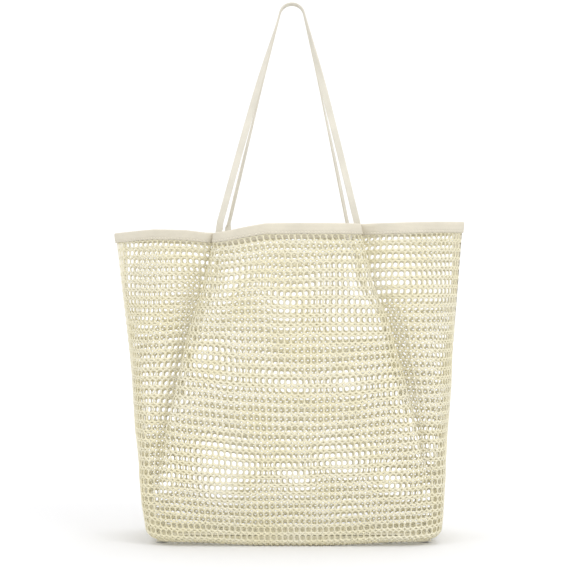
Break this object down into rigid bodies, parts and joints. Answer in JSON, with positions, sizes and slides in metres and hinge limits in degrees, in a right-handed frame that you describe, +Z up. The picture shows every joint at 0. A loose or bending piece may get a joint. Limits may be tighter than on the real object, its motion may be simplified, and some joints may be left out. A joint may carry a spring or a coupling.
{
  "type": "mesh beach tote bag",
  "caption": "Large open-top mesh beach tote with a boxed flat bottom, a folded tape rim and two long thin shoulder straps that fold outward.",
  "frame": {"origin": "on the surface that the bag stands on, under the middle of the mouth", "axes": "+X to the right, -Y out of the front panel, +Z up"},
  "size_m": [0.409, 0.1868, 0.6221],
  "materials": {
    "mesh_net": "matte knitted net",
    "rim_tape": "matte ribbed tape",
    "seam_tape": "matte ribbed tape",
    "strap_tape": "matte ribbed tape",
    "thread": "matte polyester thread"
  },
  "bodies": {
    "bag": {"front_panel": "mesh_net", "back_panel": "mesh_net", "front_rim_binding": "rim_tape", "back_rim_binding": "rim_tape", "left_side_seam_tape": "seam_tape", "right_side_seam_tape": "seam_tape", "bottom_seam_tape": "seam_tape", "left_corner_seam_tape": "seam_tape", "right_corner_seam_tape": "seam_tape", "front_left_handle_end": "strap_tape", "front_right_handle_end": "strap_tape", "back_left_handle_end": "strap_tape", "back_right_handle_end": "strap_tape", "front_rim_stitches": "thread", "back_rim_stitches": "thread", "left_side_stitches": "thread", "right_side_stitches": "thread", "bottom_seam_stitches": "thread", "handle_bar_tacks": "thread"},
    "front_handle": {"front_handle": "strap_tape"},
    "back_handle": {"back_handle": "strap_tape"}
  },
  "joints": [
    {"name": "front_handle_fold", "type": "hinge", "parent": "bag", "child": "front_handle", "pos_m": [0, -0.04588, 0.366], "axis": [1, 0, 0], "range_deg": [0, 105]},
    {"name": "back_handle_fold", "type": "hinge", "parent": "bag", "child": "back_handle", "pos_m": [0, 0.04603, 0.366], "axis": [-1, 0, 0], "range_deg": [0, 105]}
  ]
}
